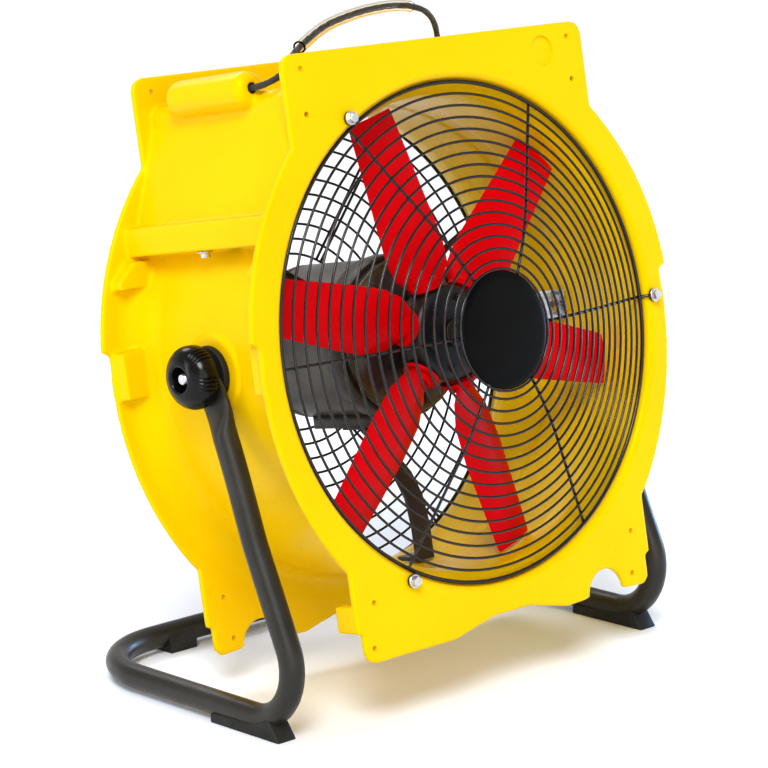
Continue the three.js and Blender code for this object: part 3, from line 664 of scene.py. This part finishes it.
def hollow_parts():
    """What is taken out of the moulding before its edges are softened."""
    deep = FRONT + FLANGE + 20
    duct = lathe([(0, 0), (BARREL, 0), (BARREL, 230), (0, 230)], 120)
    hollow = combine(
        "hollow", prism(top_outline(WALL), deep, 2 * MIDDLE - deep), [(CUT, duct)],
    )
    bore = lathe(
        [(0, FRONT - 1), (257, FRONT - 1), (255, FRONT + 1.2), (MOUTH, FRONT + 3.5),
         (MOUTH, FRONT + 11), (246, FRONT + 15), (238, FRONT + 27), (DUCT, FRONT + 44),
         (DUCT, 100), (DUCT + 1.6, 101.5), (DUCT + 1.6, MIDDLE + 1), (0, MIDDLE + 1)], 180,
    )
    cores = [roll(side, ROLL - WALL, WALL, 8) for _, side in SIDES]
    parts = [taken(hollow), *cores, *both_ends(bore)]
    for _, side in SIDES:
        xs = (214, 226) if side > 0 else (-226, -214)
        parts.append(block(xs, (78, 98), (114, 124)))
        parts.append(rod((side * 200, MIDDLE, 0), (side * 250, MIDDLE, 0), 6.5))
        parts.append(rod((side * 232, MIDDLE, 112), (side * 232, MIDDLE, 130), 2.8))
        end = ROLL_FRONT if side < 0 else 2 * MIDDLE - ROLL_FRONT
        x, z = side * ROLL_X, ROLL_Z + 1
        parts.append(rod((x, end - 5, z), (x, end + 9, z), ROPE_HOLE))
    return parts


def drilled_parts():
    """The crisp holes and the round dimple, taken out last."""
    dimple = lathe([(0, FRONT - 1), (16, FRONT - 1), (15.2, FRONT + 2.2), (0, FRONT + 2.6)], 48)
    parts = both_ends(dimple.moved(Matrix.Translation((144, 0, 266))))
    for t in spread(3):
        x, z = BOLT_CIRCLE * math.cos(t), BOLT_CIRCLE * math.sin(t)
        parts += both_ends(rod((x, FRONT - 1, z), (x, FRONT + 14, z), GUARD_HOLE))
    for x, z in flange_holes():
        hole = rod((x, FRONT - 2, z), (x, FRONT + FLANGE + 2, z), FLANGE_HOLE, 24)
        parts += both_ends(hole)
    return parts


def make_housing():
    flange, solids = solid_parts()
    tools = [(UNITE, form) for form in solids] + [(CUT, form) for form in hollow_parts()]
    shell = combine("moulding", flange, tools)
    remesh = shell.modifiers.new("even", "REMESH")
    remesh.mode = "VOXEL"
    remesh.voxel_size = 1.7
    relax = shell.modifiers.new("relax", "SMOOTH")
    relax.factor = 0.5
    relax.iterations = 12
    thin = shell.modifiers.new("thin", "DECIMATE")
    thin.ratio = 0.42
    settle(shell)
    drilled = combine("housing_shell", taken(shell), [(CUT, form) for form in drilled_parts()])
    show(drilled, "housing", YELLOW, ("housing",), sharp=60)


def taken(obj):
    """The form of a working object, which is then removed."""
    form = Form(
        [tuple(v.co) for v in obj.data.vertices], [tuple(p.vertices) for p in obj.data.polygons],
    )
    bpy.data.objects.remove(obj)
    return form


make_housing()

# ------------------------------------------------------------------ guards


def dome(radius):
    """How far back the front guard is at a radius."""
    inward = GUARD - radius
    return 1.7 - 0.303 * inward + 0.0015 * max(0, inward - 108) ** 2


def rear_dome(radius):
    return 2 * MIDDLE - 1.7 + 0.305 * (GUARD - radius)


def make_guard(end, radii, height, face, outward):
    """Rings on six spokes; every other spoke reaches a bolt's eye. The rear spokes are double."""
    form = Form()
    for radius in radii:
        thick = RIM_WIRE if radius == GUARD else WIRE
        form += ring(radius, height(radius), thick)
    inner = radii[-1]
    for k, t in enumerate(spread(6)):
        for shift in ((0,) if outward < 0 else (-3.2, 3.2)):
            across = Vector((-math.sin(t), 0, math.cos(t))) * shift

            def at(radius, y, across=across, t=t):
                return Vector((radius * math.cos(t), y, radius * math.sin(t))) + across

            path = [at(r, height(r) - 2.3 * outward) for r in steps(inner - 1, GUARD, 24)]
            if k % 2 == 0 and shift <= 0:
                path.append(at(GUARD + 3.5, face + 1.6 * outward))
                path.append(at(BOLT_CIRCLE - 5, face + 1.9 * outward))
            form += wire(path, SPOKE)
        if k % 2 == 0:
            centre = (BOLT_CIRCLE * math.cos(t), face + 1.9 * outward, BOLT_CIRCLE * math.sin(t))
            form += ring(5.4, 0, SPOKE, 32).moved(Matrix.Translation(centre))
    obj = raw_object(f"wire_guard_{end}", form)
    show(obj, "housing", BLACK_WIRE, (f"{end}_guard",), sharp=60)


def make_guards():
    front = [GUARD - RING_STEP * k for k in range(16)] + [BADGE + 1.6]
    make_guard("front", front, dome, FRONT, -1)
    rear = [GUARD - REAR_STEP * k for k in range(11)]
    make_guard("rear", rear, rear_dome, REAR, 1)
    y = dome(BADGE)
    outline = [(0, y - 3.2), (20, y - 3.0), (38, y - 2.5), (50, y - 1.9), (55, y - 1.4),
               (57.4, y - 0.6), (BADGE, y + 0.6), (BADGE - 0.4, y + 1.5), (0, y + 1.5)]
    badge = raw_object("badge_disc", lathe(outline, 96))
    show(badge, "housing", BADGE_PLASTIC, ("guard_badge",))


def about(at, axis, stations, count, phase=0.0):
    """A solid about an axis through a point, from (distance along it, radius) stations."""
    axis = Vector(axis)
    side = axis.orthogonal().normalized()
    other = axis.cross(side)
    return skin([
        [
            Vector(at) + along * axis + radius * (math.cos(a) * side + math.sin(a) * other)
            for a in spread(count, phase)
        ]
        for along, radius in stations
    ])


def hexagon(at, axis, low, high, width, phase=0.0):
    """A hexagonal head across an axis, with a turned-down outer edge."""
    corner = width / math.sqrt(3)
    return about(at, axis, [(low, corner), (high - 0.7, corner), (high, 0.88 * corner)], 6, phase)


def washer(at, axis, low, high, radius):
    """A disc with a softened outer edge."""
    return about(at, axis, [(low, radius), (high - 0.5, radius), (high, radius - 0.5)], 40)


def make_guard_bolts():
    for end, face, outward in (("front", FRONT, -1), ("rear", REAR, 1)):
        for k, t in enumerate(spread(3)):
            turn = t if outward < 0 else math.pi - t
            at = Vector((BOLT_CIRCLE * math.cos(turn), face, BOLT_CIRCLE * math.sin(turn)))
            out = Vector((0, outward, 0))
            form = washer(at, out, 3.7, 5.4, 7) + hexagon(at, out, 5.2, 10, 9.2, 0.4 * k)
            form += rod(at + 4 * out, at - 12 * out, 2.9, 20)
            bolt = raw_object(f"flange_bolt_{end}_{k + 1}", form)
            nodes = (f"guard_bolt_{end}_{k + 1}",)
            show(bolt, "housing", ZINC, nodes, sharp=30)


make_guards()
make_guard_bolts()

# ------------------------------------------------------------------ impeller

# Radius, chord, pitch in degrees and thickness, from root to tip.
BLADE_SECTIONS = np.array([
    (52, 34, 36, 9),
    (66, 58, 24, 5),
    (90, 68, 15, 4),
    (130, 66, 10, 3.4),
    (180, 60, 8.5, 3),
    (TIP, 54, 8, 2.6),
])


def blade_form():
    """A cambered blade with a thick round nose and thin tail, and its collar and root."""
    radii = np.concatenate([np.linspace(50, 100, 16), np.linspace(106, TIP - 4, 16),
                            [TIP - 2, TIP - 0.6, TIP]])
    sections = []
    for radius in radii:
        chord, pitch, thick = (
            np.interp(radius, BLADE_SECTIONS[:, 0], BLADE_SECTIONS[:, i]) for i in (1, 2, 3)
        )
        lean = math.radians(pitch)
        shrink = 1.0 - 0.05 * max(0.0, (radius - TIP + 4) / 4) ** 2
        ring_points = []
        for a in spread(28):
            u = 0.5 * math.cos(a) * shrink
            v = 0.5 * math.sin(a) * (0.35 + 0.65 * math.sqrt(max(0.0, 1 - 4 * u * u)))
            thin = 1.0 if radius < TIP - 2 else 0.6
            deep = v * thick * thin - chord * 0.06 * (1 - 4 * u * u)
            wide = u * chord
            ring_points.append((
                radius,
                IMPELLER_Y + wide * math.sin(lean) + deep * math.cos(lean),
                wide * math.cos(lean) - deep * math.sin(lean),
            ))
        sections.append(ring_points)
    root = rod((27, IMPELLER_Y, 0), (60, IMPELLER_Y, 0), 13)
    collar = rod((50, IMPELLER_Y, 0), (54, IMPELLER_Y, 0), 19, 48)
    return skin(sections) + root + collar


def make_impeller():
    blade = blade_form()
    for k, t in enumerate(spread(6, math.radians(FIRST_BLADE))):
        form = blade.moved(Matrix.Rotation(-t, 4, "Y"))
        paddle = raw_object(f"paddle_{k + 1}", form)
        show(paddle, "impeller", RED, (f"blade_{k + 1}",))
    for name, sign in (("front", -1), ("rear", 1)):
        split = IMPELLER_Y + 0.2 * sign
        outline = [(8.3, split), (8.3, split + 17 * sign), (30, split + 18.6 * sign),
                   (40, split + 17.8 * sign), (45, split + 16.4 * sign), (48, split + 13.5 * sign),
                   (HUB, split + 10 * sign), (HUB, split)]
        form = lathe(outline, 96)
        for t in spread(6, math.radians(FIRST_BLADE + 30)):
            at = (36 * math.cos(t), split + 16 * sign, 36 * math.sin(t))
            form += hexagon(at, (0, sign, 0), 0, 6, 7)
        half = raw_object(f"hub_half_{name}", form)
        show(half, "impeller", BLACK_PLASTIC, (f"hub_{name}",))


make_impeller()

# ------------------------------------------------------------------ stand


def stand_sections(count=28):
    """Sections of the bent tube, from the top of the left arm round to the right one."""
    down = Vector((0, -math.sin(ARM_LEAN), -math.cos(ARM_LEAN)))
    across = Vector((1, 0, 0))
    turn = math.pi / 2 + ARM_LEAN
    arm_length = (PIVOT_Z - RAIL_Z) / math.cos(ARM_LEAN)
    to_bend = arm_length - FRONT_BEND * math.tan(turn / 2)
    place = Vector((0, PIVOT_Y, PIVOT_Z))
    flat_x = -(KNOB_BASE - 6.2)
    end = 18.5
    stations = []

    def bow(distance):
        """How far the arm's upper part stands forward of its straight line."""
        along = min(1.0, max(0.0, distance) / 170)
        return Vector((0, -ARM_BOW * math.sin(math.pi * along ** 0.6), 0))

    def station(distance, flat, x, wide=None):
        centre = place + distance * down + bow(distance)
        centre.x = x
        stations.append((centre, down.copy(), across.copy(), flat, wide))

    for a in steps(0.06, math.pi / 2, 9):
        station(-end * math.cos(a), 1, flat_x, end * math.sin(a))
    for distance in (8, 16, 24, 30):
        station(distance, 1, flat_x)
    for u in steps(0.1, 1, 10):
        ease = u * u * (3 - 2 * u)
        station(30 + 32 * u, 1 - ease, flat_x + (-ARM_X - flat_x) * ease)
    bend_start = place + to_bend * down
    bend_start.x = -ARM_X
    for u in steps(0.04, 0.95, 20):
        station(62 + (to_bend - 62) * u, 0, -ARM_X)
    bend_centre = bend_start - FRONT_BEND * down.cross(across)
    for u in steps(0, 1, 28):
        spin = Matrix.Rotation(turn * u, 3, "X")
        centre = spin @ (bend_start - bend_centre) + bend_centre
        stations.append((centre, spin @ down, across.copy(), 0, None))
    corner = Vector((-ARM_X + REAR_BEND, REAR_BAR_Y - REAR_BEND, RAIL_Z))
    for t in steps(0, math.pi / 2, 28):
        out = Vector((-math.cos(t), math.sin(t), 0))
        along = Vector((math.sin(t), math.cos(t), 0))
        stations.append((corner + REAR_BEND * out, along, -out, 0, None))
    half = []
    for centre, along, side, flat, wide in stations:
        other = along.cross(side)
        broad = TUBE + flat * 6 if wide is None else wide
        thin = TUBE + flat * (3.2 - TUBE)
        section = []
        for t in spread(count):
            c, s = math.cos(t), math.sin(t)
            u = broad * math.copysign(abs(c) ** (1 - 0.4 * flat), c)
            v = thin * math.copysign(abs(s) ** (1 - 0.65 * flat), s)
            section.append(centre + u * other + v * side)
        half.append(section)
    second = [[Vector((-p.x, p.y, p.z)) for p in section] for section in reversed(half)]
    return half + second


def side_slab(profile, x0, x1):
    """A block across X, from (y, z) points."""
    return skin([[(x, y, z) for y, z in profile] for x in (x0, x1)])


def make_stand():
    tube = raw_object("bent_tube", skin(stand_sections()))
    show(tube, "stand", STAND_PAINT, ("stand_tube",), UPRIGHT, sharp=50)
    for name, side in SIDES:
        profile = [(0, 0), (101, 0), (101, 9), (96, 10.5), (58, 12.5), (34, 15), (24, 22), (18, 24)]
        foot = raw_object(f"rubber_foot_front_{name}",
                          side_slab(profile, side * ARM_X - 12, side * ARM_X + 12))
        round_off(foot, FOOT_EDGE)
        show(foot, "stand", RUBBER, (f"front_foot_{name}",), UPRIGHT)
        low, high = REAR_BAR_Y - 16, REAR_BAR_Y + 16
        profile = [(low, 0), (high, 0), (high, 14), (high - 4, 21), (low + 4, 21), (low, 14)]
        clip = raw_object(f"rubber_foot_rear_{name}",
                          side_slab(profile, side * 132 - 18, side * 132 + 18))
        round_off(clip, FOOT_EDGE)
        show(clip, "stand", RUBBER, (f"rear_foot_{name}",), UPRIGHT)


make_stand()

# ------------------------------------------------------------------ knobs


def knob_form(side):
    """A domed grip with groups of grooves round its skirt and a recess for the bolt's end."""
    profile = [
        (6.6, KNOB_BASE - 2.7), (15, KNOB_BASE - 2.7), (15, KNOB_BASE), (29.8, KNOB_BASE),
        (31.0, KNOB_BASE + 1.0), (31.4, KNOB_BASE + 3.5), (31.4, KNOB_BASE + 7.5),
        (30.9, KNOB_BASE + 11), (29.6, KNOB_BASE + 14.5), (27.2, KNOB_BASE + 18),
        (23.8, KNOB_BASE + 21), (19.6, KNOB_BASE + 23.4), (15.6, KNOB_RIM - 0.3),
        (13.8, KNOB_RIM), (12.6, KNOB_RIM - 0.5), (12.0, KNOB_RIM - 2), (11.8, KNOB_RIM - 13),
        (6.6, KNOB_RIM - 13),
    ]
    weights = (0, 0, 0, 0.8, 1, 1, 1, 1, 0.9, 0.5, 0.1, 0, 0, 0, 0, 0, 0, 0)
    groups, grooves, grooved, count = 6, 4, 0.44, 432
    sections = []
    for t in spread(count):
        phase = (t * groups / (2 * math.pi)) % 1.0
        depth = 0.0
        if phase < grooved:
            wave = math.sin(phase / grooved * (2 * grooves - 1) * math.pi)
            depth = KNOB_GROOVE * max(0.0, wave) ** 0.5
        section = []
        for (r, x), weight in zip(profile, weights):
            reach = r - depth * weight
            section.append((side * x, MIDDLE + reach * math.cos(t), reach * math.sin(t)))
        sections.append(section)
    return skin(sections, closed=True)


def make_knobs():
    for name, side in SIDES:
        knob = raw_object(f"grip_{name}", knob_form(side))
        show(knob, f"knob_{name}", KNOB_PLASTIC, (f"knob_{name}",), sharp=50)
        outline = [
            (6.5, 245.3), (26.6, 245.3), (27.6, 246.3), (27.6, 251.3), (26.6, 252.3), (6.5, 252.3),
        ]
        pad = raw_object(f"washer_{name}", lathe_x(outline, side, (PIVOT_Y, PIVOT_Z), 72))
        show(pad, "stand", RUBBER, (f"pivot_pad_{name}",), UPRIGHT)
        outline = [
            (0, 222.5), (6, 223.3), (9.4, 225.4), (10.5, 227.7), (6, 227.7), (6, KNOB_RIM - 5.5),
            (4.8, KNOB_RIM - 4), (0, KNOB_RIM - 4),
        ]
        bolt = raw_object(f"pivot_stud_{name}", lathe_x(outline, side, (MIDDLE, 0), 40))
        show(bolt, "housing", ZINC, (f"pivot_bolt_{name}",), sharp=30)


make_knobs()

# ------------------------------------------------------------------ motor


def motor_body():
    """A plain shell with a shallow groove near each end."""
    outline = [(MOTOR - 4, MOTOR_FRONT)]
    for end, way in ((MOTOR_FRONT, 1), (MOTOR_REAR, -1)):
        lip = [
            (MOTOR - 1.2, end), (MOTOR, end + way), (MOTOR, end + 7 * way),
            (MOTOR - 1, end + 8 * way), (MOTOR - 1, end + 10 * way), (MOTOR, end + 11 * way),
        ]
        outline += lip[::way]
    outline.append((MOTOR - 4, MOTOR_REAR))
    return lathe(outline)


def motor_end(at, out):
    """An end cover that faces one way, with radial fins and four screws."""
    form = lathe([
        (17.3, at + 0.3 * out), (MOTOR - 1, at + 0.3 * out), (MOTOR - 1, at + 4 * out),
        (MOTOR - 2.5, at + 7 * out), (MOTOR - 8, at + 12 * out), (60, at + 14 * out),
        (34, at + 17.5 * out), (26, at + 20 * out), (11, at + 20 * out), (10, at + 19 * out),
        (10, at + 12 * out), (17.3, at + 12 * out),
    ])
    rise = Vector((0, 4.2 * out, 0))
    for t in spread(12, 0.1):
        outward = Vector((math.cos(t), 0, math.sin(t)))
        across = Vector((-math.sin(t), 0, math.cos(t))) * 1.3
        ends = (
            outward * 30 + Vector((0, at + 15 * out, 0)),
            outward * (MOTOR - 9) + Vector((0, at + 9.5 * out, 0)),
        )
        form += skin([
            [p - across, p + across, p + 0.6 * across + rise, p - 0.6 * across + rise] for p in ends
        ])
    reach = MOTOR - 10
    for t in spread(4, math.pi / 4):
        screw = (reach * math.cos(t), at + 8 * out, reach * math.sin(t))
        form += hexagon(screw, (0, out, 0), 0, 8, 7)
    return form


def make_motor():
    body = raw_object("motor_body", motor_body())
    show(body, "housing", MOTOR_PAINT, ("motor_shell",), sharp=40)
    for name, at, out in (("front", MOTOR_FRONT, -1), ("rear", MOTOR_REAR, 1)):
        cover = raw_object(f"motor_end_{name}", motor_end(at, out))
        show(cover, "housing", MOTOR_PAINT, (f"motor_{name}_cover",), sharp=35)


make_motor()

# ------------------------------------------------------------------ carried-over CAD nodes

CAD_SHARP = math.radians(32)
FINISHES = {
    BLACK_STEEL: (
        "hub_screw", "motor_clamp_band", "motor_cradle", "motor_leg", "motor_strut_left",
        "motor_strut_right",
    ),
    BLACK_PLASTIC: (
        "terminal_box", "terminal_box_lid", "switch_box", "switch_frame", "switch_rocker",
        "cable_gland",
    ),
    ZINC: (
        "pivot_plate_left", "pivot_plate_right", "ledge_bolt_left", "ledge_bolt_right",
        "bearing_front", "bearing_rear", "motor_rotor", "stator_core", "run_capacitor",
    ),
    COPPER: ("stator_winding",),
    RUBBER: ("motor_lead",),
}


def finish_cad_nodes():
    """Gives each CAD node that has no piece of its own softened edges and a material."""
    for material, names in FINISHES.items():
        for name in names:
            node = frame["nodes"][name]
            node.data.materials.clear()
            node.data.materials.append(material)
            weld = node.modifiers.new("weld", "WELD")
            weld.merge_threshold = 0.00002
            edges = node.modifiers.new("edges", "BEVEL")
            edges.width = 0.0006
            edges.segments = 2
            edges.limit_method = "ANGLE"
            edges.angle_limit = CAD_SHARP
            node.data.shade_smooth()
            node.data.set_sharp_from_angle(angle=CAD_SHARP)


finish_cad_nodes()

# ------------------------------------------------------------------ floor and light


def make_stage():
    corners = [(-9, -9, 0), (9, -9, 0), (9, 9, 0), (-9, 9, 0)]
    floor = raw_object("floor", Form(corners, [(0, 1, 2, 3)]))
    floor.data.materials.append(FLOOR)


def area_light(name, place, target, size, power, tint=(1, 1, 1)):
    data = bpy.data.lights.new(name, "AREA")
    data.shape = "RECTANGLE"
    data.size, data.size_y = size
    data.energy = power
    data.color = tint
    light = bpy.data.objects.new(name, data)
    scene.collection.objects.link(light)
    turn = (Vector(target) - Vector(place)).to_track_quat("-Z", "Y").to_matrix().to_4x4()
    light.matrix_world = Matrix.Translation(place) @ turn


def sun(name, place, strength, width):
    """A distant light from a direction, as wide as an angle in degrees."""
    data = bpy.data.lights.new(name, "SUN")
    data.energy = strength
    data.angle = math.radians(width)
    light = bpy.data.objects.new(name, data)
    scene.collection.objects.link(light)
    light.matrix_world = Vector(place).to_track_quat("Z", "Y").to_matrix().to_4x4()


def make_world():
    """White at the horizon and below, and grey overhead."""
    world = bpy.data.worlds.new("studio")
    world.use_nodes = True
    nodes, links = world.node_tree.nodes, world.node_tree.links
    where = nodes.new("ShaderNodeTexCoord").outputs["Generated"]
    split = nodes.new("ShaderNodeSeparateXYZ")
    links.new(where, split.inputs["Vector"])
    ramp = nodes.new("ShaderNodeValToRGB")
    low, high = ramp.color_ramp.elements
    low.position, low.color = 0.02, (1.0, 1.0, 1.0, 1)
    high.position, high.color = 0.30, (0.42, 0.42, 0.43, 1)
    links.new(split.outputs["Z"], ramp.inputs["Fac"])
    links.new(ramp.outputs["Color"], nodes["Background"].inputs["Color"])
    scene.world = world


def make_lights():
    sun("key", (-0.54, -0.52, 0.78), 1.75, 24)
    sun("front_fill", (-0.5, -0.8, 0.12), 0.55, 50)
    area_light("left_strip", (-2.6, 1.0, 0.9), (0, 0, 0.3), (0.35, 1.8), 8)
    area_light("top_back", (0.3, 1.9, 2.3), (0, 0, 0.45), (1.6, 0.8), 18)
    cool = (0.35, 0.62, 1.0)
    area_light("floor_cool", (1.5, -0.02, 0.25), (0.05, -0.15, 0), (1.2, 0.3), 9, cool)
    scene.view_settings.view_transform = "Standard"
    scene.view_settings.look = "Medium High Contrast"
    scene.view_settings.exposure = 0.15


make_stage()
make_world()
make_lights()
